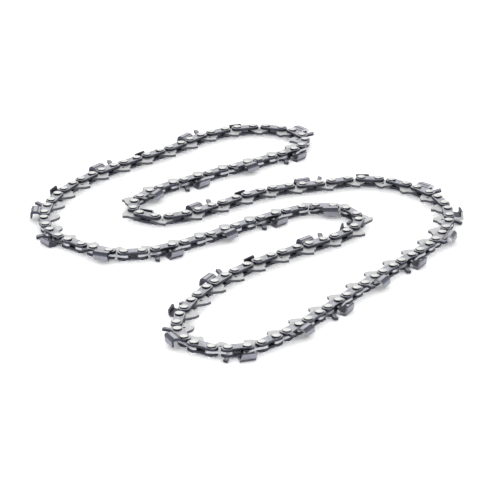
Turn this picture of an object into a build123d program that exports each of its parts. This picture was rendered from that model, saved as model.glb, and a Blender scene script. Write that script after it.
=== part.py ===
from build123d import *
import math
import os

# Saw chain for a garden chainsaw, joined into a loop and lying on its side.
# Millimetres. +X runs across the loop, +Y along it, +Z up. Rivets stand upright.

# Chain sizes
PITCH = 8.255  # mean rivet spacing: three rivets in a row span two pitches
STRAP_SPACING = 9.06  # rivet to rivet in a tie strap or cutter
DRIVE_SPACING = 2 * PITCH - STRAP_SPACING  # rivet to rivet in a drive link
REPEATS = 18  # right cutter, straps, left cutter, straps, with four drive links
GAUGE = 1.3  # drive link thickness, to suit the groove in the guide bar
PLATE = 1.4  # strap and cutter thickness
KERF = 5.8  # width over the cutters

# Rivets
HEAD_DIAMETER = 4.3
HEAD_HEIGHT = 0.7
HEAD_SIDES = 7

# Tie straps
STRAP_ABOVE = 2.5  # rivet line to the edge on the cutters' side
STRAP_BELOW = 2.8  # rivet line to the edge that runs on the guide bar
STRAP_REACH = 0.42 * DRIVE_SPACING  # past the rivet centre at each end

# Drive links
DRIVE_ABOVE = 2.2  # rivet line to the edge on the cutters' side
DRIVE_REACH = 0.4 * DRIVE_SPACING
TANG_DEPTH = 8.2  # rivet line to the toe of the tang
TANG_TOE = 0.9  # toe ahead of the link's middle
TANG_HEEL = 2.7  # length of the toe's rounded back
TANG_HOLLOW = 1.1  # deepest place of the hollow front, ahead of the toe

# Cutters
CUT_HEIGHT = 7.8  # rivet line to the cutting corner
TOP_PLATE_WIDTH = 3.9
TOP_PLATE_THICKNESS = 1.0
TOP_PLATE_LENGTH = 8.0  # along the kerf side
TOP_PLATE_OVERHANG = 2.4  # behind the rear rivet
TOP_PLATE_ANGLE = 24.0  # slant of the cutting edge
REAR_ANGLE = 12.0  # slant of the top plate's rear end
BEND = 1.1  # size of the bend between side plate and top plate
SIDE_HOOK = 4.0  # lean of the side plate's edge
RELIEF = 6.0  # fall of the top plate towards its rear
GULLET_HEIGHT = 2.7  # front of the gullet's floor above the rivet line
LEAN_RISE = 1.4  # height over which the side plate leans out
ROOT_DEPTH = 0.8  # of the side plate, one with the foot below the gullet's floor
GAUGE_DROP = 0.65  # depth gauge below the cutting corner
GAUGE_LEAN = 10.5  # of the depth gauge, bent out towards the kerf
GAUGE_TIP = 1.5  # highest place of the depth gauge, ahead of the front rivet
GAUGE_NOSE = 3.3  # foremost place of the depth gauge, ahead of the front rivet

# Floor points the loop is laid through, in the order of travel. The finished
# loop is scaled from these until its links close up exactly.
LAY_POINTS = [
    # far strand and far bend
    (-31.6, 122.8), (-8, 141), (12, 144), (29, 134), (32, 118), (20, 102),
    # back to the left reverse bend
    (-7, 82), (-33, 62), (-49, 48), (-58, 33), (-58, 20), (-49, 12), (-37, 13), (-20, 24),
    # across to the right-hand bend
    (-5, 37), (15, 51), (39, 58), (56, 64), (73, 63), (88, 53), (100, 37), (104, 16),
    # near strand and near bend
    (94, -20), (75, -47), (47, -87), (18, -127), (-2, -143), (-21, -141), (-32, -124), (-29, -100),
    # back to the right reverse bend
    (-10, -63), (25, -29), (47, -12), (57, 5), (53, 20), (39, 26), (21, 19),
    # across to the left-hand bend and up the far strand
    (-5, -1), (-38, -27), (-61, -35), (-80, -27), (-99, -8), (-104, 13), (-92, 57), (-60, 94),
]
LAY_SAMPLES = 2400

STRAP_INNER = GAUGE / 2
STRAP_OUTER = GAUGE / 2 + PLATE


def sampled_lay():
    """Points close together along a smooth closed curve through the lay points."""
    curve = Spline(*[Vector(x, y) for x, y in LAY_POINTS], periodic=True)
    points = [curve.position_at(i / LAY_SAMPLES) for i in range(LAY_SAMPLES)]
    return [(p.X, p.Y) for p in points]


def next_rivet(path, index, start, spacing):
    """Step along the path to the first point one link away from start."""
    count = len(path)
    while math.dist(path[(index + 1) % count], start) < spacing:
        index += 1
    ax, ay = path[index % count]
    bx, by = path[(index + 1) % count]
    low = 0.0
    high = 1.0
    for _ in range(40):
        mid = (low + high) / 2
        if math.dist((ax + (bx - ax) * mid, ay + (by - ay) * mid), start) < spacing:
            low = mid
        else:
            high = mid
    return index, low, (ax + (bx - ax) * low, ay + (by - ay) * low)


def walk(path):
    """Lay strap and drive spacings in turn along the path.

    Returns the rivet centres and how many times round the path they went.
    """
    rivets = [path[0]]
    index = 0
    part = 0.0
    for step in range(8 * REPEATS):
        spacing = STRAP_SPACING if step % 2 == 0 else DRIVE_SPACING
        index, part, rivet = next_rivet(path, index, rivets[-1], spacing)
        rivets.append(rivet)
    return rivets[:-1], (index + part) / len(path)


def lay_out_rivets():
    """Rivet centres round the loop, with the path scaled so that it just closes."""
    path = sampled_lay()
    length = sum(math.dist(path[i - 1], path[i]) for i in range(len(path)))
    guess = 8 * REPEATS * PITCH / length
    low = 0.9 * guess
    high = 1.1 * guess
    for _ in range(32):
        scale = (low + high) / 2
        rivets, turns = walk([(x * scale, y * scale) for x, y in path])
        if turns > 1:
            low = scale
        else:
            high = scale
    return rivets


def link_frames(rivets):
    """Where each link lies: its middle, with local +X along the travel."""
    frames = []
    for i in range(len(rivets)):
        ax, ay = rivets[i]
        bx, by = rivets[(i + 1) % len(rivets)]
        heading = math.degrees(math.atan2(by - ay, bx - ax))
        frames.append(Pos((ax + bx) / 2, (ay + by) / 2, 0) * Rot(0, 0, heading))
    return frames


def plate(outline, bottom, thickness):
    """Flat plate of the given outline, standing on the level called bottom."""
    face = make_face(Polyline(*outline, close=True))
    return extrude(Pos(0, 0, bottom) * face, amount=thickness)


def tie_strap(side):
    """Strap over two rivets. side is 1 for the upper side, -1 for the lower."""
    half = STRAP_SPACING / 2
    outline = [
        (half + 0.55 * STRAP_REACH, STRAP_ABOVE),
        (-half - 0.55 * STRAP_REACH, STRAP_ABOVE),
        (-half - STRAP_REACH, 0.42 * STRAP_ABOVE),
        (-half - STRAP_REACH, -0.42 * STRAP_BELOW),
        (-half - 0.55 * STRAP_REACH, -STRAP_BELOW),
        (half + 0.55 * STRAP_REACH, -STRAP_BELOW),
        (half + STRAP_REACH, -0.42 * STRAP_BELOW),
        (half + STRAP_REACH, 0.42 * STRAP_ABOVE),
    ]
    return plate(outline, STRAP_INNER if side > 0 else -STRAP_OUTER, PLATE)


def drive_link():
    """Middle link, whose tang runs in the groove of the guide bar."""
    half = DRIVE_SPACING / 2
    outline = [
        (half + 0.55 * DRIVE_REACH, DRIVE_ABOVE),
        (-half - 0.55 * DRIVE_REACH, DRIVE_ABOVE),
        (-half - DRIVE_REACH, 0.36 * DRIVE_ABOVE),
        (-half - 0.85 * DRIVE_REACH, -0.75 * STRAP_BELOW),
        (TANG_TOE - TANG_HEEL, -0.88 * TANG_DEPTH),
        (TANG_TOE, -TANG_DEPTH),
        (TANG_TOE + TANG_HOLLOW, -0.73 * TANG_DEPTH),
        (half + 0.12 * DRIVE_REACH, -0.61 * TANG_DEPTH),
        (half + 0.85 * DRIVE_REACH, -0.75 * STRAP_BELOW),
        (half + DRIVE_REACH, 0.36 * DRIVE_ABOVE),
    ]
    return plate(outline, -GAUGE / 2, GAUGE)


def gullet_line(x):
    """Height of the foot's upper edge, which falls towards the rear like the top plate."""
    gullet_front = STRAP_SPACING / 2 - 0.7 * STRAP_REACH
    return GULLET_HEIGHT + (x - gullet_front) * math.tan(math.radians(RELIEF))


def cutter_foot():
    """Flat foot of an upper cutter over its two rivets."""
    half = STRAP_SPACING / 2
    rear = -half - TOP_PLATE_OVERHANG
    outline = [
        (-half - 0.6 * STRAP_REACH, -STRAP_BELOW),
        (half + 0.6 * STRAP_REACH, -STRAP_BELOW),
        (half + STRAP_REACH, -0.3 * STRAP_BELOW),
        (half + 0.5 * STRAP_REACH, GULLET_HEIGHT),
        (half - 0.7 * STRAP_REACH, GULLET_HEIGHT),
        (rear, gullet_line(rear)),
        (-half - STRAP_REACH, -0.3 * STRAP_BELOW),
    ]
    return plate(outline, STRAP_INNER, PLATE)


def depth_gauge():
    """Hooked plate that rises from the front of the foot and leans out to the kerf."""
    front_rivet = STRAP_SPACING / 2
    lean = math.radians(GAUGE_LEAN)
    crest = (CUT_HEIGHT - GAUGE_DROP - GULLET_HEIGHT) / math.cos(lean)
    outline = [
        (front_rivet - 0.1 * STRAP_REACH, 0),
        (front_rivet + 0.5 * STRAP_REACH, 0),
        (front_rivet + GAUGE_NOSE, 0.65 * crest),
        (front_rivet + GAUGE_TIP, crest),
    ]
    bent = Plane(
        origin=(0, GULLET_HEIGHT, STRAP_INNER),
        x_dir=(1, 0, 0),
        z_dir=(0, -math.sin(lean), math.cos(lean)),
    )
    return extrude(bent * make_face(Polyline(*outline, close=True)), amount=PLATE)


def cutter_blade():
    """Side plate that leans out to the kerf, with the top plate turned in over the links."""
    edge = KERF / 2
    corner = TOP_PLATE_LENGTH - TOP_PLATE_OVERHANG - STRAP_SPACING / 2
    base = gullet_line(corner)
    under = CUT_HEIGHT - TOP_PLATE_THICKNESS
    section = [
        (base, STRAP_INNER),
        (base - ROOT_DEPTH, STRAP_INNER),
        (base - ROOT_DEPTH, STRAP_OUTER),
        (base, STRAP_OUTER),
        (base + LEAN_RISE, edge),
        (CUT_HEIGHT - BEND, edge),
        (CUT_HEIGHT, edge - BEND),
        (CUT_HEIGHT, edge - TOP_PLATE_WIDTH),
        (under, edge - TOP_PLATE_WIDTH),
        (under, edge - PLATE),
        (base + LEAN_RISE, edge - PLATE),
    ]
    fall = math.tan(math.radians(RELIEF))
    hook = math.tan(math.radians(SIDE_HOOK))
    front_slant = math.tan(math.radians(TOP_PLATE_ANGLE))
    rear_slant = math.tan(math.radians(REAR_ANGLE))
    face = Plane.YZ * make_face(Polyline(*section, close=True))
    run = (TOP_PLATE_LENGTH + TOP_PLATE_WIDTH * rear_slant) * math.hypot(1, fall)
    blade = extrude(Pos(corner, 0, 0) * face, amount=run, dir=(-1, -fall, 0))
    filed_edge = Plane(origin=(corner, CUT_HEIGHT, edge), z_dir=(1, -hook, -front_slant))
    rear_end = Plane(origin=(corner - TOP_PLATE_LENGTH, 0, edge), z_dir=(-1, 0, rear_slant))
    for end in (filed_edge, rear_end):
        blade = split(blade, bisect_by=end, keep=Keep.BOTTOM)
    return blade


def cutter(side):
    """Right-hand cutter for the upper side, or its mirror image for the lower."""
    upper = cutter_foot() + depth_gauge() + cutter_blade()
    return upper if side > 0 else mirror(upper, about=Plane.XY)


def rivet_head(side):
    """Low domed rivet head on the outer face of a strap, with flat sides."""
    radius = HEAD_DIAMETER / 2
    base = side * STRAP_OUTER
    apex = (0, 0, side * (STRAP_OUTER + HEAD_HEIGHT))
    rim = []
    for i in range(HEAD_SIDES):
        angle = 2 * math.pi * (i + 0.5) / HEAD_SIDES
        rim.append((radius * math.cos(angle), radius * math.sin(angle), base))
    faces = [Face(Wire.make_polygon(rim, close=True))]
    for i in range(HEAD_SIDES):
        faces.append(Face(Wire.make_polygon([rim[i - 1], rim[i], apex], close=True)))
    return Solid(Shell(faces))


def build_nodes():
    """Every piece in its place, grouped under the names of the parts."""
    rivets = lay_out_rivets()
    frames = link_frames(rivets)
    shapes = {1: (tie_strap(1), cutter(1)), -1: (tie_strap(-1), cutter(-1))}
    hand = {1: "right", -1: "left"}
    link = drive_link()
    nodes = {}

    for i in range(0, len(frames), 2):
        spot = i % 8
        for side in (1, -1):
            strap, blade = shapes[side]
            cutter_spot = 0 if side > 0 else 4
            if spot == cutter_spot:
                node = f"{hand[side]}_cutter_{i // 8 + 1:02d}"
                nodes.setdefault(node, []).append(frames[i] * blade)
            elif spot in (0, 4):
                nodes.setdefault(f"{hand[side]}_tie_straps_facing_cutters", []).append(frames[i] * strap)
            else:
                nodes.setdefault(f"{hand[side]}_tie_straps", []).append(frames[i] * strap)

        place = "ahead_of" if spot in (0, 4) else "behind"
        nodes.setdefault(f"drive_links_{place}_cutters", []).append(frames[i + 1] * link)

    for side in (1, -1):
        head = rivet_head(side)
        heads = [frames[i] * Pos(end * STRAP_SPACING / 2, 0, 0) * head
                 for i in range(0, len(frames), 2) for end in (-1, 1)]
        nodes[f"{hand[side]}_rivet_heads"] = heads
    return nodes


def main():
    nodes = build_nodes()
    pieces = [piece for group in nodes.values() for piece in group]
    box = Compound(children=[piece.moved(Location()) for piece in pieces]).bounding_box()
    to_floor = Pos(-box.center().X, -box.center().Y, -box.min.Z)
    os.makedirs("parts", exist_ok=True)
    for name, group in nodes.items():
        placed = [to_floor * piece for piece in group]
        shape = placed[0] if len(placed) == 1 else Compound(children=placed)
        export_step(shape, f"parts/{name}.step")


main()
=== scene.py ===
"""Looks for a saw chain loop: rounded links, round rivets and steel finishes."""

import logging
import math
from dataclasses import dataclass, field
from enum import Enum
from typing import ClassVar

import bmesh
import bpy
import numpy as np
from mathutils import Matrix, Vector
from mathutils.geometry import tessellate_polygon


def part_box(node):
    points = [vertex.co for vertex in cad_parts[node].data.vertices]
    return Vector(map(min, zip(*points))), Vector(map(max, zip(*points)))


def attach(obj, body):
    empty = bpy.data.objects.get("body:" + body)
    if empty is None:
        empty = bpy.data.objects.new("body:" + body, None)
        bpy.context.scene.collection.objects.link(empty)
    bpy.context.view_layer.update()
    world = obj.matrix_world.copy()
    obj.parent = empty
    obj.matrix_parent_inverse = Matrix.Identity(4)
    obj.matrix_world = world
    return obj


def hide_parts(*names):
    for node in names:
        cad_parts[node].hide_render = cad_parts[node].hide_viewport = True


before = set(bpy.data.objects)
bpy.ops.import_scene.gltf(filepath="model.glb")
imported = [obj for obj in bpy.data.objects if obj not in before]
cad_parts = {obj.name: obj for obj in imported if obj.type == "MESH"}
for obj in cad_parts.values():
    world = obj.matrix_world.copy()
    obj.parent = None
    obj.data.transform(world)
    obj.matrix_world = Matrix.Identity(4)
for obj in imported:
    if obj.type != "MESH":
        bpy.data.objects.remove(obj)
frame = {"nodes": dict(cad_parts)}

LOG = logging.getLogger("saw_chain")
MM = 0.001
TEAR_SHARE = 0.5  # of the height of a stamped wall, torn from below
CORNER_ROOM = 0.49  # of the shorter side at a corner, which its rounding may take
CREASE = 34.0  # degrees between faces, from which their edge is sharp
LEAST_MITER = 0.5  # cosine that limits how far a sharp corner moves when inset
HOLE_SIDES = 20

RGB = tuple[float, float, float]
Spot = tuple[float, float, float]
Corner = tuple[float, float, float]
Loop = np.ndarray


class Hand(Enum):
    """Side of the chain, by its cutters. The right-hand side lies uppermost."""

    RIGHT = 1
    LEFT = -1

    @property
    def word(self) -> str:
        """Lower-case name, as used in the names of nodes."""
        return self.name.lower()


class Slot(Enum):
    """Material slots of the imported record."""

    CUTTER = "cutter"
    STRAP = "strap"
    DRIVE_LINK = "drive_link"
    RIVET = "rivet"


class Surface(Enum):
    """Which part of a stamped piece a face belongs to; the value is its material index."""

    FACE = 0
    EDGE = 1
    TORN = 2
    FILED = 3
    INSIDE = 4
    BEND = 5
    GAUGE = 6
    TOP = 7


@dataclass(frozen=True)
class SteelFinish:
    """One steel surface.

    Attributes:
        name: Material name.
        light: Colour of the clean metal.
        dark: Colour where oil and scale have stayed.
        roughness: Mean roughness.
        soil: Share of the surface that takes the dark colour, 0 to 1.
        grain_mm: Size of the grain.
        grain_depth: Strength of the grain's bump.
    """

    name: str
    light: RGB
    dark: RGB
    roughness: float
    soil: float
    grain_mm: float
    grain_depth: float


# Name, light and dark colour, roughness, soil, size and depth of the grain.
FINISHES: dict[str, SteelFinish] = {
    row[0]: SteelFinish(*row)
    for row in (
        # The edge and torn rows of straps and cutters are dark partly for the stamped edges' own
        # darker oxide and partly as painted shade, standing in for the contact shadow and dark
        # reflections on the walls.
        ("strap_face", (0.50, 0.51, 0.545), (0.22, 0.228, 0.265), 0.24, 0.55, 0.5, 0.12),
        ("strap_edge", (0.10, 0.103, 0.13), (0.04, 0.042, 0.058), 0.36, 0.5, 0.4, 0.15),
        # strap torn wall; the straps' inner faces also take this row, as painted shade between the
        # layers
        ("strap_torn_and_painted_shade", (0.06, 0.062, 0.08), (0.025, 0.026, 0.036), 0.45, 0.5, 0.3, 0.25),
        ("drive_face", (0.78, 0.78, 0.785), (0.55, 0.555, 0.565), 0.52, 0.40, 0.5, 0.12),
        # drive link walls: the edge row is the wall's light colour, on the rivet side; the next row
        # is its painted-shade copy, on the tang side
        ("drive_edge", (0.60, 0.605, 0.64), (0.40, 0.405, 0.44), 0.34, 0.4, 0.4, 0.12),
        ("drive_wall_painted_shade", (0.13, 0.132, 0.15), (0.05, 0.052, 0.064), 0.45, 0.4, 0.3, 0.25),
        ("rivet_face", (0.83, 0.83, 0.82), (0.62, 0.62, 0.615), 0.28, 0.35, 0.6, 0.08),
        # rivet rim: painted shade, near black, standing in for the dark crescent of shadow and
        # reflection round each head
        ("rivet_rim_painted_shade", (0.025, 0.026, 0.033), (0.01, 0.011, 0.015), 0.4, 0.4, 0.4, 0.1),
        ("cutter_plate", (0.50, 0.50, 0.545), (0.32, 0.32, 0.36), 0.30, 0.35, 0.5, 0.10),
        ("cutter_edge", (0.10, 0.103, 0.13), (0.04, 0.042, 0.058), 0.36, 0.5, 0.4, 0.15),
        ("cutter_torn", (0.06, 0.062, 0.08), (0.025, 0.026, 0.036), 0.45, 0.5, 0.3, 0.25),
        ("cutter_filed", (0.66, 0.66, 0.69), (0.46, 0.46, 0.50), 0.30, 0.2, 0.3, 0.12),
        # cutter inner faces: painted shade for the shadow inside the gullet and under the blade
        ("cutter_inside_painted_shade", (0.12, 0.122, 0.145), (0.05, 0.052, 0.065), 0.45, 0.5, 0.5, 0.12),
        ("cutter_top", (0.31, 0.31, 0.355), (0.20, 0.20, 0.238), 0.34, 0.40, 0.6, 0.12),
        # cutter bends: painted shade
        ("cutter_bend_painted_shade", (0.12, 0.122, 0.15), (0.06, 0.062, 0.08), 0.30, 0.4, 0.5, 0.10),
        # depth gauge faces: painted shade, darker than the foot
        ("cutter_gauge_painted_shade", (0.33, 0.33, 0.37), (0.15, 0.15, 0.18), 0.26, 0.4, 0.5, 0.10),
    )
}


@dataclass
class Form:
    """A mesh in the making, in millimetres.

    Attributes:
        points: Corner positions.
        faces: Corner numbers of each face.
        surfaces: Which surface each face belongs to.
    """

    points: list[Spot] = field(default_factory=list)
    faces: list[tuple[int, ...]] = field(default_factory=list)
    surfaces: list[Surface] = field(default_factory=list)

    def add_ring(self, loop: Loop, height: float) -> list[int]:
        """Add a closed ring of corners at one height.

        Args:
            loop: Plan positions, one row each.
            height: Height of the ring.

        Returns:
            The new corner numbers, in order.
        """
        start = len(self.points)
        self.points.extend((float(x), float(y), height) for x, y in loop)
        return list(range(start, len(self.points)))

    def add_face(self, corners: tuple[int, ...], surface: Surface) -> None:
        """Add one face by its corner numbers, anticlockwise from outside."""
        self.faces.append(corners)
        self.surfaces.append(surface)

    def bridge(self, low: list[int], high: list[int], surface: Surface) -> None:
        """Join two rings of equal length by quads.

        Args:
            low: Corner numbers of the lower ring.
            high: Corner numbers of the upper ring.
            surface: The surface the quads belong to.
        """
        count = len(low)
        for i in range(count):
            j = (i + 1) % count
            self.add_face((low[i], low[j], high[j], high[i]), surface)

    def mirrored(self) -> "Form":
        """The mirror image across the chain's middle plane, as a new form."""
        return Form(
            [(x, y, -z) for x, y, z in self.points],
            [tuple(reversed(face)) for face in self.faces],
            list(self.surfaces),
        )


def rounded(corners: list[Corner], closed: bool = True, step: float = 18.0) -> Loop:
    """Round the corners of an outline.

    Args:
        corners: Rows of x, y and corner radius.
        closed: False for an open line, whose two ends stay as they are.
        step: Largest turn between points on an arc, in degrees.

    Returns:
        The points of the rounded outline.
    """
    count = len(corners)
    spots = [np.array(corner[:2], float) for corner in corners]
    out: list[np.ndarray] = []
    for i, (spot, corner) in enumerate(zip(spots, corners)):
        if corner[2] <= 0 or (not closed and i in (0, count - 1)):
            out.append(spot)
            continue
        back = spots[i - 1] - spot
        ahead = spots[(i + 1) % count] - spot
        room = CORNER_ROOM * min(np.linalg.norm(back), np.linalg.norm(ahead))
        back /= np.linalg.norm(back)
        ahead /= np.linalg.norm(ahead)
        half = 0.5 * math.acos(float(np.clip(back @ ahead, -1, 1)))
        reach = min(corner[2] / math.tan(half), room)
        radius = reach * math.tan(half)
        middle = spot + (back + ahead) / np.linalg.norm(back + ahead) * radius / math.sin(half)
        first = spot + back * reach - middle
        turn = math.pi - 2 * half
        side = math.copysign(1.0, float(back[0] * ahead[1] - back[1] * ahead[0]))
        pieces = max(2, math.ceil(math.degrees(turn) / step))
        for k in range(pieces + 1):
            angle = -side * turn * k / pieces
            cos, sin = math.cos(angle), math.sin(angle)
            out.append(middle + np.array([[cos, -sin], [sin, cos]]) @ first)
    return np.array(out)


def circle(x: float, y: float, radius: float, sides: int) -> Loop:
    """Points of a circle, clockwise, for a hole.

    Args:
        x: Centre along the link.
        y: Centre across the link.
        radius: Radius of the hole.
        sides: Number of points.

    Returns:
        The points of the circle.
    """
    angles = -2 * np.pi * np.arange(sides) / sides
    return np.c_[x + radius * np.cos(angles), y + radius * np.sin(angles)]


def inset(loop: Loop, amount: float) -> Loop:
    """Move a loop into the material on its left.

    Args:
        loop: Outline anticlockwise, or a hole clockwise.
        amount: Distance to move.

    Returns:
        The moved loop.
    """
    before = loop - np.roll(loop, 1, 0)
    after = np.roll(loop, -1, 0) - loop
    normals = []
    for edge in (before, after):
        unit = edge / np.linalg.norm(edge, axis=1, keepdims=True)
        normals.append(np.c_[-unit[:, 1], unit[:, 0]])
    mean = normals[0] + normals[1]
    mean /= np.linalg.norm(mean, axis=1, keepdims=True)
    miter = np.clip((mean * normals[0]).sum(1, keepdims=True), LEAST_MITER, 1.0)
    return loop + mean * amount / miter


def stamped_plate(
    outline: Loop,
    holes: list[Loop],
    bottom: float,
    top: float,
    ease: float,
    under: Surface = Surface.FACE,
) -> Form:
    """Flat stamped plate with eased edges and a cut wall that is smooth above and torn below.

    Args:
        outline: Outline, anticlockwise.
        holes: Holes, clockwise.
        bottom: Height of the lower face.
        top: Height of the upper face.
        ease: Radius of the eased edges.
        under: Surface of the lower face.

    Returns:
        The plate.
    """
    form = Form()
    loops = [outline, *holes]
    caps: dict[bool, list[list[int]]] = {True: [], False: []}
    soft = ease * (1 - math.sqrt(0.5))
    tear = bottom + TEAR_SHARE * (top - bottom)
    for loop in loops:
        levels = [
            (ease, bottom), (soft, bottom + soft), (0.0, bottom + ease),
            (0.0, tear), (0.0, top - ease), (soft, top - soft), (ease, top),
        ]
        rings = [form.add_ring(inset(loop, amount) if amount else loop, z) for amount, z in levels]
        kinds = [under, Surface.TORN, Surface.TORN, Surface.EDGE, Surface.EDGE, Surface.FACE]
        for low, high, kind in zip(rings, rings[1:], kinds):
            form.bridge(low, high, kind)
        caps[False].append(rings[0])
        caps[True].append(rings[-1])
    for upper, ends in caps.items():
        numbers = [n for ring in ends for n in ring]
        plan = [[Vector((*form.points[n][:2], 0.0)) for n in ring] for ring in ends]
        for triangle in tessellate_polygon(plan):
            a, b, c = (numbers[n] for n in triangle)
            pa, pb, pc = (form.points[n] for n in (a, b, c))
            area = (pb[0] - pa[0]) * (pc[1] - pa[1]) - (pb[1] - pa[1]) * (pc[0] - pa[0])
            kind = Surface.FACE if upper else under
            form.add_face((a, b, c) if (area > 0) == upper else (a, c, b), kind)
    return form


@dataclass(frozen=True)
class ChainSizes:
    """Driving sizes in millimetres, measured on the frame's nodes.

    Attributes:
        gauge: Thickness of a drive link.
        plate: Thickness of a strap or cutter.
        kerf: Width over the cutters.
        head_radius: Radius of a rivet head.
        head_height: Height of a rivet head.
        strap_spacing: Rivet spacing in a strap.
        drive_spacing: Rivet spacing in a drive link.
        middle: Height of the chain's middle plane.
    """

    gauge: float
    plate: float
    kerf: float
    head_radius: float
    head_height: float
    strap_spacing: float
    drive_spacing: float
    middle: float

    @property
    def inner(self) -> float:
        """Distance from the middle plane to a strap's inner face."""
        return self.gauge / 2

    @property
    def outer(self) -> float:
        """Distance from the middle plane to a strap's outer face."""
        return self.gauge / 2 + self.plate


class ChainLay:
    """Where the rivets and links lie, read from the frame.

    Args:
        nodes: The frame's nodes by name.
    """

    HEADS = "right_rivet_heads"
    FIRST = "right_cutter_01"
    DRIVES = "drive_links_ahead_of_cutters"
    STRAPS = "right_tie_straps"
    PLACES = 3  # decimals of a millimetre to which rivet centres are read

    def __init__(self, nodes: dict[str, bpy.types.Object]) -> None:
        corners = self._corners(nodes[self.HEADS])
        apex = corners[corners[:, 2] > corners[:, 2].max() - 10.0 ** -self.PLACES]
        rivets = np.unique(np.round(apex[:, :2], self.PLACES), axis=0)
        self.rivets = self._in_order(rivets, nodes)
        steps = np.linalg.norm(np.roll(self.rivets, -1, 0) - self.rivets, axis=1)
        rim = corners[np.linalg.norm(corners[:, :2] - self.rivets[0], axis=1) < steps.min() / 2]
        drive = self._height(self.DRIVES)
        strap = self._height(self.STRAPS)
        heads = self._height(self.HEADS)
        first = self._height(self.FIRST)
        middle = (drive[0] + drive[1]) / 2
        self.sizes = ChainSizes(
            gauge=drive[1] - drive[0],
            plate=strap[1] - strap[0],
            kerf=2 * (first[1] - middle),
            head_radius=float(np.linalg.norm(rim[:, :2] - self.rivets[0], axis=1).max()),
            head_height=heads[1] - heads[0],
            strap_spacing=float(steps[0::2].mean()),
            drive_spacing=float(steps[1::2].mean()),
            middle=middle,
        )

    @staticmethod
    def _corners(node: bpy.types.Object) -> np.ndarray:
        """Corner positions of a node in millimetres."""
        flat = np.zeros(len(node.data.vertices) * 3, np.float32)
        node.data.vertices.foreach_get("co", flat)
        return flat.reshape(-1, 3).astype(float) / MM

    @staticmethod
    def _height(node: str) -> tuple[float, float]:
        """Lowest and highest level of a node in millimetres."""
        low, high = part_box(node)
        return low.z / MM, high.z / MM

    def _in_order(self, rivets: np.ndarray, nodes: dict[str, bpy.types.Object]) -> np.ndarray:
        """Put the rivets in order of travel, which is clockwise from above.

        Args:
            rivets: Rivet centres in any order.
            nodes: The frame's nodes by name.

        Returns:
            Rivet centres from the rear of the first right cutter.
        """
        gaps = np.linalg.norm(rivets[:, None] - rivets[None], axis=2)
        near = np.argsort(gaps, axis=1)[:, 1:3]
        low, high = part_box(self.FIRST)
        centre = np.array((low + high)[:2]) / 2 / MM
        ends = np.argsort(np.linalg.norm(rivets - centre, axis=1))[:2]
        for first, second in (ends, ends[::-1]):
            order = [int(first), int(second)]
            while len(order) < len(rivets):
                a, b = near[order[-1]]
                order.append(int(b if a == order[-2] else a))
            ring = rivets[order]
            ahead = np.roll(ring, -1, 0)
            if (ring[:, 0] * ahead[:, 1] - ring[:, 1] * ahead[:, 0]).sum() < 0:
                return ring
        raise ValueError("the rivets make no clockwise loop")

    def link(self, index: int) -> Matrix:
        """Place of the link that starts at a rivet; even numbers are straps.

        Args:
            index: Number of the rivet at the link's rear.

        Returns:
            Placement in metres, with local +X along the travel.
        """
        rear = self.rivets[index % len(self.rivets)]
        front = self.rivets[(index + 1) % len(self.rivets)]
        middle = (rear + front) / 2 * MM
        heading = math.atan2(front[1] - rear[1], front[0] - rear[0])
        spot = Vector((middle[0], middle[1], self.sizes.middle * MM))
        return Matrix.Translation(spot) @ Matrix.Rotation(heading, 4, "Z")

    def rivet(self, index: int) -> Matrix:
        """Place of one rivet, in metres."""
        spot = self.rivets[index] * MM
        return Matrix.Translation(Vector((spot[0], spot[1], self.sizes.middle * MM)))


def set_inputs(node: bpy.types.Node, values: dict[str, float | tuple[float, ...]]) -> None:
    """Set the values of a shader node's inputs by their names."""
    for name, value in values.items():
        node.inputs[name].default_value = value


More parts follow.
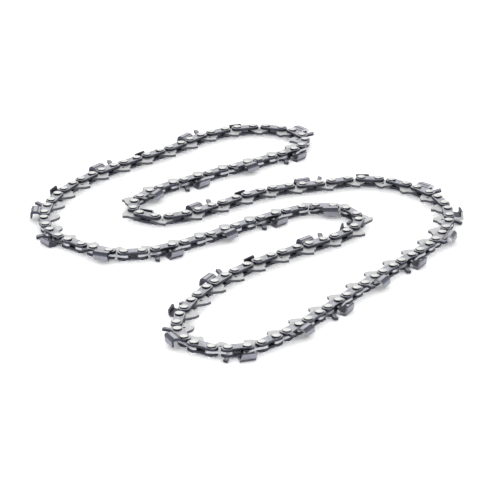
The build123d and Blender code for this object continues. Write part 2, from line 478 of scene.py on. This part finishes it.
class SteelWorks:
    """Builds the shader node groups once and the steel materials from them."""

    CLOUD_DETAIL, GRAIN_DETAIL = 3.0, 2.0
    CLOUD_START, CLOUD_FULL = 0.35, 0.65  # noise levels between which soil sets in
    CLOUD_SHARE = 0.3  # of the grain's frequency
    ROUGH_LEAST, ROUGH_MOST = 0.8, 1.2  # times the mean roughness, over the grain
    BUMP_MM = 0.05  # height of the grain

    def __init__(self) -> None:
        self.soil = self._soil_group()
        self.grain = self._grain_group()
        self.materials = {name: self._material(finish) for name, finish in FINISHES.items()}

    @staticmethod
    def _group(name: str, inputs: dict[str, float], outputs: list[str]) -> bpy.types.NodeTree:
        """Make an empty node group with float sockets.

        Args:
            name: Name of the group.
            inputs: Input names and their default values.
            outputs: Output names.

        Returns:
            The group, with its input and output nodes in place.
        """
        group = bpy.data.node_groups.new(name, "ShaderNodeTree")
        for label, value in inputs.items():
            socket = group.interface.new_socket(
                name=label, in_out="INPUT", socket_type="NodeSocketFloat"
            )
            socket.default_value = value
        for label in outputs:
            group.interface.new_socket(name=label, in_out="OUTPUT", socket_type="NodeSocketFloat")
        group.nodes.new("NodeGroupInput").name = "in"
        group.nodes.new("NodeGroupOutput").name = "out"
        return group

    @staticmethod
    def _fill(
        group: bpy.types.NodeTree, detail: float, factor: str, output: str
    ) -> tuple[bpy.types.Node, bpy.types.Node]:
        """Fill a group with noise, spread out and multiplied by one of its inputs.

        Args:
            group: The group to fill.
            detail: Detail of the noise.
            factor: Input that the noise is multiplied by.
            output: Output that takes the result.

        Returns:
            The noise node and the node that spreads it out.
        """
        nodes, links = group.nodes, group.links
        place = nodes.new("ShaderNodeTexCoord")
        noise = nodes.new("ShaderNodeTexNoise")
        set_inputs(noise, {"Detail": detail})
        spread = nodes.new("ShaderNodeMapRange")
        scaled = nodes.new("ShaderNodeMath")
        scaled.operation = "MULTIPLY"
        links.new(place.outputs["Object"], noise.inputs["Vector"])
        links.new(nodes["in"].outputs["Scale"], noise.inputs["Scale"])
        links.new(noise.outputs["Fac"], spread.inputs["Value"])
        links.new(spread.outputs["Result"], scaled.inputs[0])
        links.new(nodes["in"].outputs[factor], scaled.inputs[1])
        links.new(scaled.outputs["Value"], nodes["out"].inputs[output])
        return noise, spread

    def _soil_group(self) -> bpy.types.NodeTree:
        """Cloudy mask of oil and scale left on tumbled steel.

        Returns:
            A group with the inputs Scale and Amount and the output Mask.
        """
        group = self._group("oil_and_scale", {"Scale": 400.0, "Amount": 0.4}, ["Mask"])
        _, spread = self._fill(group, self.CLOUD_DETAIL, "Amount", "Mask")
        set_inputs(spread, {"From Min": self.CLOUD_START, "From Max": self.CLOUD_FULL})
        return group

    def _grain_group(self) -> bpy.types.NodeTree:
        """Fine tumbled grain.

        Returns:
            A group with the inputs Scale and Roughness and the outputs Height and Roughness.
        """
        inputs = {"Scale": 2000.0, "Roughness": 0.35}
        group = self._group("tumbled_grain", inputs, ["Height", "Roughness"])
        noise, spread = self._fill(group, self.GRAIN_DETAIL, "Roughness", "Roughness")
        set_inputs(spread, {"To Min": self.ROUGH_LEAST, "To Max": self.ROUGH_MOST})
        group.links.new(noise.outputs["Fac"], group.nodes["out"].inputs["Height"])
        return group

    def _material(self, finish: SteelFinish) -> bpy.types.Material:
        """Make the material of one finish.

        Args:
            finish: The finish to make.

        Returns:
            The material.
        """
        material = bpy.data.materials.new(finish.name)
        material.use_nodes = True
        nodes, links = material.node_tree.nodes, material.node_tree.links
        steel = nodes["Principled BSDF"]
        set_inputs(steel, {"Metallic": 1.0})
        grain_size = finish.grain_mm * MM
        soil = nodes.new("ShaderNodeGroup")
        soil.node_tree = self.soil
        set_inputs(soil, {"Scale": self.CLOUD_SHARE / grain_size, "Amount": finish.soil})
        grain = nodes.new("ShaderNodeGroup")
        grain.node_tree = self.grain
        set_inputs(grain, {"Scale": 1.0 / grain_size, "Roughness": finish.roughness})
        tone = nodes.new("ShaderNodeMix")
        tone.data_type = "RGBA"
        set_inputs(tone, {"A": (*finish.light, 1.0), "B": (*finish.dark, 1.0)})
        bump = nodes.new("ShaderNodeBump")
        set_inputs(bump, {"Strength": finish.grain_depth, "Distance": self.BUMP_MM * MM})
        links.new(soil.outputs["Mask"], tone.inputs["Factor"])
        links.new(tone.outputs["Result"], steel.inputs["Base Color"])
        links.new(grain.outputs["Roughness"], steel.inputs["Roughness"])
        links.new(grain.outputs["Height"], bump.inputs["Height"])
        links.new(bump.outputs["Normal"], steel.inputs["Normal"])
        return material

    def pick(self, *names: str) -> list[bpy.types.Material]:
        """Materials by the names of their finishes, in the order of the Surface values."""
        return [self.materials[name] for name in names]


def to_mesh(
    name: str, form: Form, places: list[Matrix], materials: list[bpy.types.Material]
) -> bpy.types.Mesh:
    """Make a mesh of one form set in one or more places.

    Args:
        name: Name of the mesh.
        form: The form, in millimetres.
        places: Where its copies go, in metres.
        materials: Materials in the order of the Surface values. The last one serves the rest.

    Returns:
        The mesh, in metres.
    """
    points = np.c_[np.array(form.points) * MM, np.ones(len(form.points))]
    stacked = [(points @ np.array(place).T)[:, :3] for place in places]
    count = len(form.points)
    faces = [tuple(n + k * count for n in face) for k in range(len(places)) for face in form.faces]
    mesh = bpy.data.meshes.new(name)
    mesh.from_pydata(np.vstack(stacked).tolist(), [], faces)
    for material in materials:
        mesh.materials.append(material)
    kinds = [min(kind.value, len(materials) - 1) for kind in form.surfaces] * len(places)
    mesh.polygons.foreach_set("material_index", kinds)
    finish_shading(mesh)
    return mesh


def finish_shading(mesh: bpy.types.Mesh) -> None:
    """Shade a mesh smoothly, with creases where it turns sharply.

    Args:
        mesh: The mesh to shade.
    """
    mesh.validate()
    mesh.polygons.foreach_set("use_smooth", [True] * len(mesh.polygons))
    mesh.set_sharp_from_angle(angle=math.radians(CREASE))
    mesh.update()


def united(mesh: bpy.types.Mesh, other: bpy.types.Mesh) -> bpy.types.Mesh:
    """Join two closed meshes into one.

    Args:
        mesh: The first mesh; its materials are kept.
        other: The mesh joined to it.

    Returns:
        A new closed mesh.
    """
    holders = [bpy.data.objects.new(f"join_{i}", m) for i, m in enumerate((mesh, other))]
    for holder in holders:
        bpy.context.scene.collection.objects.link(holder)
    tool = holders[0].modifiers.new("join", "BOOLEAN")
    tool.operation = "UNION"
    tool.solver = "EXACT"
    tool.object = holders[1]
    graph = bpy.context.evaluated_depsgraph_get()
    result = bpy.data.meshes.new_from_object(holders[0].evaluated_get(graph))
    for holder in holders:
        bpy.data.objects.remove(holder)
    finish_shading(result)
    return result


@dataclass
class TieStrap:
    """Strap over two rivets, straight below and waisted above.

    Attributes:
        sizes: The chain's sizes.
        above: Rivet line to the edge on the cutters' side.
        below: Rivet line to the edge that runs on the bar.
        reach: How far it goes past each rivet centre.
        waist: Depth of the waist in its upper edge.
        waist_start: Rivet centre to where the waist starts.
        waist_end: Rivet centre to where the waist is full.
        hole: Radius of its rivet holes.
        ease: Radius of its eased edges.
    """

    sizes: ChainSizes
    above: float = 2.5
    below: float = 2.8
    reach: float = 3.1
    waist: float = 0.4
    waist_start: float = 1.2
    waist_end: float = 2.6
    hole: float = 1.65
    ease: float = 0.16

    def form(self) -> Form:
        """Build the upper strap in its own frame.

        Returns:
            The strap.
        """
        half = self.sizes.strap_spacing / 2
        end = half + self.reach
        tall = self.above
        low = tall - self.waist
        near, far = half - self.waist_start, half - self.waist_end
        outline = rounded([
            (-end, -self.below, 2.5), (end, -self.below, 2.5), (end, tall, 2.4),
            (near, tall, 2.0), (far, low, 2.0), (-far, low, 2.0), (-near, tall, 2.0),
            (-end, tall, 2.4),
        ])
        holes = [circle(x, 0.0, self.hole, HOLE_SIDES) for x in (-half, half)]
        # The inner face falls to the last material, the dark torn-wall colour, as painted shade
        # between the layers.
        return stamped_plate(
            outline, holes, self.sizes.inner, self.sizes.outer, self.ease, Surface.INSIDE
        )


@dataclass
class DriveLink:
    """Middle link with a tang that runs in the bar's groove.

    Attributes:
        sizes: The chain's sizes.
        above: Rivet line to the edge on the cutters' side.
        dip: Depth of the dip in that edge.
        dip_start: Rivet centre to where the dip starts.
        reach: How far it goes past each rivet centre.
        taper: How far its ends draw in towards the tang.
        shoulder: Rivet line to where the ends turn into the tang.
        tang: Depth of the tang's toe below the rivet line.
        toe: How far the toe is ahead of the link's middle.
        heel: Length of the toe's rounded back.
        hollow: Deepest place of the hollow front, ahead of the toe.
        beak: Tip above the hollow front, ahead of the front rivet.
        hole: Radius of its rivet holes.
        oil_hole: Radius of the oil hole, or 0 for none.
        oil_depth: Rivet line to the oil hole.
        ease: Radius of its eased edges.
    """

    sizes: ChainSizes
    above: float = 2.2
    dip: float = 0.5
    dip_start: float = 0.6
    reach: float = 2.95
    taper: float = 0.35
    shoulder: float = 2.1
    tang: float = 8.2
    toe: float = 0.9
    heel: float = 2.7
    hollow: float = 1.1
    beak: float = 0.36
    hole: float = 2.05
    oil_hole: float = 0.0
    oil_depth: float = 3.4
    ease: float = 0.16

    OIL_HOLE_SIDES: ClassVar[int] = 14
    HEEL_SHARE: ClassVar[float] = 0.88  # of the tang's depth, as the next two
    HOLLOW_SHARE: ClassVar[float] = 0.73
    BEAK_SHARE: ClassVar[float] = 0.61

    def form(self) -> Form:
        """Build the link in its own frame.

        Returns:
            The link.
        """
        half = self.sizes.drive_spacing / 2
        end = half + self.reach
        tall = self.above
        low = -self.shoulder
        outline = rounded([
            (end, tall, 2.1), (half - self.dip_start, tall, 1.5), (0.0, tall - self.dip, 3.0),
            (self.dip_start - half, tall, 1.5), (-end, tall, 2.1), (self.taper - end, low, 1.5),
            (self.toe - self.heel, -self.HEEL_SHARE * self.tang, 2.4), (self.toe, -self.tang, 0.2),
            (self.toe + self.hollow, -self.HOLLOW_SHARE * self.tang, 1.2),
            (half + self.beak, -self.BEAK_SHARE * self.tang, 0.5), (end - self.taper, low, 1.5),
        ])[::-1]
        holes = [circle(x, 0.0, self.hole, HOLE_SIDES) for x in (-half, half)]
        if self.oil_hole:
            holes.append(circle(0.0, -self.oil_depth, self.oil_hole, self.OIL_HOLE_SIDES))
        form = stamped_plate(outline, holes, -self.sizes.inner, self.sizes.inner, self.ease)
        # Lit and shaded copies of one wall: walls on the rivet side keep the light wall finish,
        # walls on the tang side take painted shade, whatever their height.
        for i, face in enumerate(form.faces):
            if form.surfaces[i] in (Surface.EDGE, Surface.TORN):
                ridge = sum(form.points[n][1] for n in face) > 0
                form.surfaces[i] = Surface.EDGE if ridge else Surface.TORN
        return form


@dataclass
class Rivet:
    """Rivet with a spun head at each end and a hub in the drive link.

    Attributes:
        sizes: The chain's sizes.
        journal: Radius in the straps.
        hub: Radius in the drive link.
        sides: Number of facets round it.
        dome: Rings of the domed head: how far in from its rim, and how far below its top.
    """

    sizes: ChainSizes
    journal: float = 1.6
    hub: float = 2.0
    sides: int = 24
    dome: tuple[tuple[float, float], ...] = (
        (0.0, 0.34), (0.1, 0.25), (0.4, 0.14), (0.9, 0.06), (1.505, 0.012), (1.935, 0.0),
    )

    def form(self) -> Form:
        """Build the rivet in its own frame.

        Returns:
            The rivet.
        """
        inner, outer = self.sizes.inner, self.sizes.outer
        rim = self.sizes.head_radius
        top = outer + self.sizes.head_height
        # The rim, the underside of the head and the hidden journal wall are EDGE and take the rim
        # finish: painted shade for the dark crescent round each head.
        upper = [
            (self.hub, inner, Surface.FACE), (self.journal, inner, Surface.FACE),
            (self.journal, outer, Surface.EDGE), (rim, outer, Surface.EDGE),
        ]
        for inward, drop in self.dome:
            upper.append((rim - inward, top - drop, Surface.FACE if inward else Surface.EDGE))
        lower = [(radius, -z) for radius, z, _ in reversed(upper)]
        profile = lower + [(radius, z) for radius, z, _ in upper]
        kinds = [kind for _, _, kind in upper]
        spans = kinds[-2::-1] + [Surface.FACE] + kinds[:-1]
        form = Form()
        rings = [
            form.add_ring(circle(0.0, 0.0, radius, self.sides)[::-1], z) for radius, z in profile
        ]
        for low, high, kind in zip(rings, rings[1:], spans):
            form.bridge(low, high, kind)
        form.add_face(tuple(reversed(rings[0])), Surface.FACE)
        form.add_face(tuple(rings[-1]), Surface.FACE)
        return form


@dataclass
class Cutter:
    """Right-hand cutter: a foot with a bent-out depth gauge, and a blade bent up from it.

    Attributes:
        sizes: The chain's sizes.
        below: Rivet line to the edge that runs on the bar.
        reach: How far the foot goes past each rivet centre.
        front_end: Height of the foot's front end.
        rear_end: Height of its rear end.
        hole: Radius of its rivet holes.
        height: Height of the cutting corner above the rivet line.
        top_width: Width of the top plate.
        top_thickness: Thickness of the top plate.
        top_length: Length of the top plate along the kerf.
        overhang: Top plate behind the rear rivet.
        slant: Slant of the cutting edge, in degrees.
        rear_slant: Slant of the top plate's rear end, in degrees.
        hook: Lean of the side plate's edge, in degrees.
        relief: Fall of the top plate towards its rear, in degrees.
        gullet: Height of the gullet's floor at its front.
        gullet_front: Front of the gullet's floor, behind the front rivet.
        root: How deep the side plate is rooted in the foot.
        lean_rise: Height over which the side plate leans out.
        filed_hollow: Depth of the hollow filed into the front edge.
        filed_foot: How far that edge runs forward at its foot.
        gauge_drop: Depth gauge below the cutting corner.
        gauge_lean: Lean of the depth gauge towards the kerf, in degrees.
        gauge_bend: Length of the depth gauge's rounded bend.
        gauge_tip: Highest place of the depth gauge, ahead of the front rivet.
        gauge_nose: Foremost place of the depth gauge, ahead of the front rivet.
        gauge_front: Front of the depth gauge's foot, ahead of the front rivet.
        gauge_back: Back of the depth gauge's foot, behind the front rivet.
        gauge_step: Height of that place above the gullet's floor.
        ease: Radius of the foot's eased edges.
        seam: How far the blade's root lies within the foot's faces, for a clean join.
    """

    sizes: ChainSizes
    below: float = 2.8
    reach: float = 3.1
    front_end: float = 0.6
    rear_end: float = 0.2
    hole: float = 1.65
    height: float = 7.8
    top_width: float = 3.9
    top_thickness: float = 1.0
    top_length: float = 8.0
    overhang: float = 2.4
    slant: float = 24.0
    rear_slant: float = 12.0
    hook: float = 4.0
    relief: float = 6.0
    gullet: float = 2.7
    gullet_front: float = 2.2
    root: float = 0.8
    lean_rise: float = 1.4
    filed_hollow: float = 0.4
    filed_foot: float = 0.7
    gauge_drop: float = 0.65
    gauge_lean: float = 12.0
    gauge_bend: float = 1.2
    gauge_tip: float = 1.5
    gauge_nose: float = 3.4
    gauge_front: float = 1.9
    gauge_back: float = 0.4
    gauge_step: float = 0.1
    ease: float = 0.14
    seam: float = 0.02

    BEND_POINTS: ClassVar[int] = 7
    GAUGE_STEPS: ClassVar[int] = 5
    NOSE_SHARE: ClassVar[float] = 0.68  # of the depth gauge's height
    OUTER_BENDS: ClassVar[tuple[float, ...]] = (1.4, 1.2, 1.6)
    INNER_BENDS: ClassVar[tuple[float, ...]] = (1.2, 1.4, 0.6)

    @property
    def corner(self) -> float:
        """Place of the cutting corner along the link."""
        return self.top_length - self.overhang - self.sizes.strap_spacing / 2

    def floor_line(self, x: float) -> float:
        """Height of the foot's upper edge above the rivet line, at a place along the link."""
        front = self.sizes.strap_spacing / 2 - self.gullet_front
        return self.gullet + (x - front) * math.tan(math.radians(self.relief))

    def foot(self) -> Form:
        """Foot with the depth gauge at its front, still flat.

        Returns:
            The foot.
        """
        half = self.sizes.strap_spacing / 2
        end = half + self.reach
        rear = -half - self.overhang
        floor = self.gullet
        rise = self.height - self.gauge_drop - floor
        crest = rise / math.cos(math.radians(self.gauge_lean))
        outline = rounded([
            (-end, -self.below, 2.2), (end, -self.below, 2.2), (end, self.front_end, 1.6),
            (half + self.gauge_front, floor, 0.7),
            (half + self.gauge_nose, floor + self.NOSE_SHARE * crest, 0.4),
            (half + self.gauge_tip, floor + crest, 0.5),
            (half - self.gauge_back, floor + self.gauge_step, 1.2),
            (half - self.gullet_front, floor, 1.0), (rear, self.floor_line(rear), 0.5),
            (-end, self.rear_end, 1.0),
        ])
        holes = [circle(x, 0.0, self.hole, HOLE_SIDES) for x in (-half, half)]
        # The foot's inner face takes the inside finish, which is painted shade.
        return stamped_plate(
            outline, holes, self.sizes.inner, self.sizes.outer, self.ease, Surface.INSIDE
        )

    def bend_gauge(self, mesh: bpy.types.Mesh, side: int) -> None:
        """Bend the depth gauge of a flat foot out towards the kerf.

        Args:
            mesh: The foot, in metres.
            side: 1 for the upper side of the chain, -1 for the lower.
        """
        form = bmesh.new()
        form.from_mesh(mesh)
        for k in range(self.GAUGE_STEPS + 1):
            level = (self.gullet + self.gauge_bend * k / self.GAUGE_STEPS) * MM
            geometry = [*form.verts, *form.edges, *form.faces]
            bmesh.ops.bisect_plane(form, geom=geometry, plane_co=(0, level, 0), plane_no=(0, 1, 0))
        lean = math.radians(self.gauge_lean)
        arc = self.gauge_bend / lean
        for vert in form.verts:
            rise = vert.co.y / MM - self.gullet
            if rise <= 0:
                continue
            depth = side * vert.co.z / MM - self.sizes.inner
            angle = lean * min(rise / self.gauge_bend, 1.0)
            straight = max(rise - self.gauge_bend, 0.0)
            up = arc * math.sin(angle) + straight * math.cos(lean) - depth * math.sin(angle)
            out = arc * (1 - math.cos(angle)) + straight * math.sin(lean) + depth * math.cos(angle)
            vert.co.y = (self.gullet + up) * MM
            vert.co.z = side * (self.sizes.inner + out) * MM
        # The gauge's faces take a darker finish of their own: painted shade for the dim reflection
        # that the bent gauge shows.
        for face in form.faces:
            flat = face.material_index in (Surface.FACE.value, Surface.INSIDE.value)
            if flat and face.calc_center_median().y > self.gullet * MM:
                face.material_index = Surface.GAUGE.value
        form.to_mesh(mesh)
        form.free()
        finish_shading(mesh)

    def _section(self, outside: bool) -> Loop:
        """Bent line of the blade's outer or inner surface at the cutting corner.

        Args:
            outside: True for the outer surface.

        Returns:
            Rows of height above the rivet line and distance from the middle plane.
        """
        edge = self.sizes.kerf / 2
        base = self.floor_line(self.corner)
        root = self.sizes.outer - self.seam if outside else self.sizes.inner + self.seam
        wall = edge if outside else edge - self.sizes.plate
        roof = self.height if outside else self.height - self.top_thickness
        foot_bend, side_bend, top_bend = self.OUTER_BENDS if outside else self.INNER_BENDS
        line = [
            (base - self.root, root, 0.0), (base, root, foot_bend),
            (base + self.lean_rise, wall, side_bend), (roof, wall, top_bend),
            (roof, edge - self.top_width, 0.0),
        ]
        spots = []
        for i, (y, z, radius) in enumerate(line):
            if radius <= 0:
                spots.append(np.array([[y, z]]))
                continue
            bend = rounded([line[i - 1], (y, z, radius), line[i + 1]], closed=False)[1:-1]
            steps = np.linspace(0, len(bend) - 1, self.BEND_POINTS)
            spots.append(
                np.column_stack([np.interp(steps, np.arange(len(bend)), part) for part in bend.T])
            )
        return np.vstack(spots)

    def blade(self) -> Form:
        """Side plate leaning out to the kerf, with the top plate turned in over the links.

        Returns:
            The blade, rooted in the foot.
        """
        edge = self.sizes.kerf / 2
        rear = -self.sizes.strap_spacing / 2 - self.overhang
        fall, slant, rear_slant, hook = (
            math.tan(math.radians(angle))
            for angle in (self.relief, self.slant, self.rear_slant, self.hook)
        )
        form = Form()
        rings: list[list[int]] = []
        outer, inner = self._section(True), self._section(False)
        top = float(outer[:, 0].max())
        low = float(outer[:, 0].min())
        for out, inn in zip(outer, inner):
            ring = []
            for (y, z), back in ((out, True), (out, False), (inn, False), (inn, True)):
                x = rear - (edge - z) * rear_slant
                if not back:
                    share = min((y - low) / (top - low), 1.0)
                    hollow = self.filed_hollow * math.sin(math.pi * share)
                    hollow -= self.filed_foot * (1 - share) ** 3
                    x = self.corner - (edge - z) * slant - (self.height - y) * hook - hollow
                ring.append(len(form.points))
                form.points.append((x, float(y) + (x - self.corner) * fall, float(z)))
            rings.append(ring)
        count = self.BEND_POINTS
        # The rounded bends of the outer skin take the bend finish: painted shade for the dark line
        # of shadow and reflection along each bend.
        flats = {count: Surface.FACE, 2 * count: Surface.FACE, 3 * count: Surface.TOP}
        for i, (low_ring, high_ring) in enumerate(zip(rings, rings[1:])):
            skin = flats.get(i, Surface.BEND)
            # The blade's inner faces take the inside finish, which is painted shade.
            for k, kind in enumerate((skin, Surface.FILED, Surface.INSIDE, Surface.EDGE)):
                j = (k + 1) % len(low_ring)
                form.add_face((low_ring[k], high_ring[k], high_ring[j], low_ring[j]), kind)
        form.add_face(tuple(rings[0]), Surface.FACE)
        form.add_face(tuple(reversed(rings[-1])), Surface.EDGE)
        return form

    def mesh(self, hand: Hand, materials: list[bpy.types.Material]) -> bpy.types.Mesh:
        """Join foot and blade into one closed mesh.

        Args:
            hand: Which side of the chain it is for.
            materials: Materials in the order of the Surface values.

        Returns:
            The cutter, in metres.
        """
        here = [Matrix.Identity(4)]
        forms = [self.foot(), self.blade()]
        if hand is Hand.LEFT:
            forms = [form.mirrored() for form in forms]
        foot, blade = (to_mesh(f"{hand.word}_cutter_part", form, here, materials) for form in forms)
        self.bend_gauge(foot, hand.value)
        return united(foot, blade)


class ChainLoop:
    """All the pieces of the chain, each in place of its frame node.

    Args:
        lay: Where the links lie.
        works: The steel finishes.
    """

    REPEAT = 8  # links from one right-hand cutter to the next
    HALF_REPEAT = REPEAT // 2
    OIL_HOLE = 0.6  # radius in millimetres

    def __init__(self, lay: ChainLay, works: SteelWorks) -> None:
        self.lay = lay
        self.works = works
        self.count = len(lay.rivets)

    @staticmethod
    def _show(name: str, mesh: bpy.types.Mesh, slot: Slot, *nodes: str) -> bpy.types.Object:
        """Put a piece in the scene in place of frame nodes.

        Args:
            name: Name of the piece.
            mesh: Its mesh.
            slot: Its material slot in the record; not used.
            nodes: Frame nodes it stands for.

        Returns:
            The piece.
        """
        piece = bpy.data.objects.new(name, mesh)
        bpy.context.scene.collection.objects.link(piece)
        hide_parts(*nodes)
        LOG.info("%s: %d faces, for %s", name, len(mesh.polygons), ", ".join(nodes))
        return piece

    def add_straps(self) -> None:
        """Add the tie straps of both sides."""
        upper = TieStrap(self.lay.sizes).form()
        materials = self.works.pick("strap_face", "strap_edge", "strap_torn_and_painted_shade")
        for hand in Hand:
            form = upper if hand is Hand.RIGHT else upper.mirrored()
            facing = self.HALF_REPEAT if hand is Hand.RIGHT else 0
            groups = {
                "tie_straps": range(2, self.count, self.HALF_REPEAT),
                "tie_straps_facing_cutters": range(facing, self.count, self.REPEAT),
            }
            for label, starts in groups.items():
                places = [self.lay.link(i) for i in starts]
                node = f"{hand.word}_{label}"
                mesh = to_mesh(f"{node}_mesh", form, places, materials)
                piece = self._show(f"{node}_round", mesh, Slot.STRAP, node)
                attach(piece, "root")

    def add_drive_links(self) -> None:
        """Add the drive links, those just ahead of a cutter with an oil hole."""
        materials = self.works.pick("drive_face", "drive_edge", "drive_wall_painted_shade")
        for label, start, oil in (("ahead_of", 1, self.OIL_HOLE), ("behind", 3, 0.0)):
            form = DriveLink(self.lay.sizes, oil_hole=oil).form()
            places = [self.lay.link(i) for i in range(start, self.count, self.HALF_REPEAT)]
            mesh = to_mesh(f"drive_links_{label}_mesh", form, places, materials)
            piece = self._show(
                f"drive_links_{label}_round", mesh, Slot.DRIVE_LINK, f"drive_links_{label}_cutters"
            )
            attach(piece, "root")

    def add_rivets(self) -> None:
        """Add the rivets."""
        places = [self.lay.rivet(i) for i in range(self.count)]
        materials = self.works.pick("rivet_face", "rivet_rim_painted_shade")
        mesh = to_mesh("rivets_mesh", Rivet(self.lay.sizes).form(), places, materials)
        heads = [f"{hand.word}_rivet_heads" for hand in Hand]
        piece = self._show("rivets_round", mesh, Slot.RIVET, *heads)
        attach(piece, "root")

    def add_cutters(self) -> None:
        """Add the cutters of both hands."""
        materials = self.works.pick(
            "cutter_plate", "cutter_edge", "cutter_torn", "cutter_filed", "cutter_inside_painted_shade",
            "cutter_bend_painted_shade", "cutter_gauge_painted_shade", "cutter_top",
        )
        for hand in Hand:
            mesh = Cutter(self.lay.sizes).mesh(hand, materials)
            start = 0 if hand is Hand.RIGHT else self.HALF_REPEAT
            for number, index in enumerate(range(start, self.count, self.REPEAT), 1):
                node = f"{hand.word}_cutter_{number:02d}"
                piece = self._show(f"{node}_ground", mesh, Slot.CUTTER, node)
                piece.matrix_world = self.lay.link(index)
                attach(piece, "root")

    def build(self) -> None:
        """Add every piece."""
        self.add_straps()
        self.add_drive_links()
        self.add_rivets()
        self.add_cutters()
        LOG.info("chain of %d rivets built", self.count)


@dataclass
class Studio:
    """White table top, soft light and camera, as in the photograph.

    Attributes:
        target: Point the camera looks at, in metres.
        distance: Camera to target, in metres.
        elevation: Camera above the horizon, in degrees.
        lens: Focal length, in millimetres.
        sensor: Width of the sensor, in millimetres.
        near: Nearest that the camera sees, in metres.
        far: Farthest that it sees, in metres.
        horizon: Brightness of the room at eye level.
        zenith: Brightness of the room overhead.
        sky_start: Height of a direction, 0 to 1, up to which the room is as bright as the horizon.
        sky_end: Height of a direction from which it is as bright as the zenith.
        table_side: Half the width of the table top, in metres.
        table: How white the table top is.
        table_shown: How white it is where it is seen.
        lamp_spot: Where the lamp hangs, in metres.
        lamp_size: Length of the lamp's side, in metres.
        lamp_watts: Power of the lamp.
    """

    target: Spot = (-0.00101, -0.02824, 0.0053)
    distance: float = 1.1409
    elevation: float = 23.17
    lens: float = 168.98
    sensor: float = 36.0
    near: float = 0.05
    far: float = 20.0
    horizon: float = 1.0
    zenith: float = 0.58
    sky_start: float = 0.3
    sky_end: float = 0.9
    table_side: float = 6.0
    table: float = 0.9
    table_shown: float = 1.75
    lamp_spot: Spot = (-0.3, 1.4, 1.6)
    lamp_size: float = 1.4
    lamp_watts: float = 3.0

    def add_camera(self) -> None:
        """Make the camera and set it as the scene's."""
        data = bpy.data.cameras.new("camera")
        data.lens = self.lens
        data.sensor_width = self.sensor
        data.clip_start = self.near
        data.clip_end = self.far
        camera = bpy.data.objects.new("camera", data)
        angle = math.radians(self.elevation)
        back = Vector((0.0, -math.cos(angle), math.sin(angle)))
        camera.location = Vector(self.target) + back * self.distance
        camera.rotation_euler = (-back).to_track_quat("-Z", "Y").to_euler()
        bpy.context.scene.collection.objects.link(camera)
        bpy.context.scene.camera = camera

    def add_world(self) -> None:
        """Light the room softly from all round, a little less from overhead."""
        world = bpy.data.worlds.new("room")
        world.use_nodes = True
        nodes, links = world.node_tree.nodes, world.node_tree.links
        sky = nodes["Background"]
        set_inputs(sky, {"Color": (1.0, 1.0, 1.0, 1.0)})
        place = nodes.new("ShaderNodeTexCoord")
        split = nodes.new("ShaderNodeSeparateXYZ")
        height = nodes.new("ShaderNodeMapRange")
        height.interpolation_type = "SMOOTHSTEP"
        set_inputs(height, {"From Min": self.sky_start, "From Max": self.sky_end})
        set_inputs(height, {"To Min": self.horizon, "To Max": self.zenith})
        links.new(place.outputs["Generated"], split.inputs["Vector"])
        links.new(split.outputs["Z"], height.inputs["Value"])
        links.new(height.outputs["Result"], sky.inputs["Strength"])
        bpy.context.scene.world = world

    def add_floor(self) -> None:
        """Make the white table top, which shows white where it is seen but keeps its shadows."""
        mesh = bpy.data.meshes.new("floor_mesh")
        side = self.table_side
        corners = [(-side, -side, 0), (side, -side, 0), (side, side, 0), (-side, side, 0)]
        mesh.from_pydata(corners, [], [(0, 1, 2, 3)])
        material = bpy.data.materials.new("white_table")
        material.use_nodes = True
        nodes, links = material.node_tree.nodes, material.node_tree.links
        nodes.remove(nodes["Principled BSDF"])
        table = nodes.new("ShaderNodeBsdfDiffuse")
        path = nodes.new("ShaderNodeLightPath")
        shown = path.outputs["Is Camera Ray"]
        for ray in ("Is Glossy Ray", "Is Transmission Ray"):
            either = nodes.new("ShaderNodeMath")
            either.operation = "MAXIMUM"
            links.new(shown, either.inputs[0])
            links.new(path.outputs[ray], either.inputs[1])
            shown = either.outputs["Value"]
        tone = nodes.new("ShaderNodeMix")
        tone.data_type = "RGBA"
        whites = {"A": self.table, "B": self.table_shown}
        set_inputs(tone, {name: (white, white, white, 1.0) for name, white in whites.items()})
        links.new(shown, tone.inputs["Factor"])
        links.new(tone.outputs["Result"], table.inputs["Color"])
        links.new(table.outputs["BSDF"], nodes["Material Output"].inputs["Surface"])
        mesh.materials.append(material)
        floor = bpy.data.objects.new("floor", mesh)
        bpy.context.scene.collection.objects.link(floor)

    def add_lamp(self) -> None:
        """Add a square soft lamp behind the chain, aimed at it."""
        data = bpy.data.lights.new("back_softbox", "AREA")
        data.size = self.lamp_size
        data.energy = self.lamp_watts
        lamp = bpy.data.objects.new("back_softbox", data)
        lamp.location = self.lamp_spot
        lamp.rotation_euler = (-Vector(self.lamp_spot)).to_track_quat("-Z", "Y").to_euler()
        bpy.context.scene.collection.objects.link(lamp)

    def build(self) -> None:
        """Set up the whole studio."""
        self.add_camera()
        self.add_world()
        self.add_floor()
        self.add_lamp()
        bpy.context.scene.view_settings.view_transform = "Standard"


def main() -> None:
    """Build the chain and the studio."""
    logging.basicConfig(level=logging.INFO)
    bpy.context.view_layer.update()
    lay = ChainLay(frame["nodes"])
    LOG.info("measured %s", lay.sizes)
    ChainLoop(lay, SteelWorks()).build()
    Studio().build()


if __name__ == "__main__":
    main()
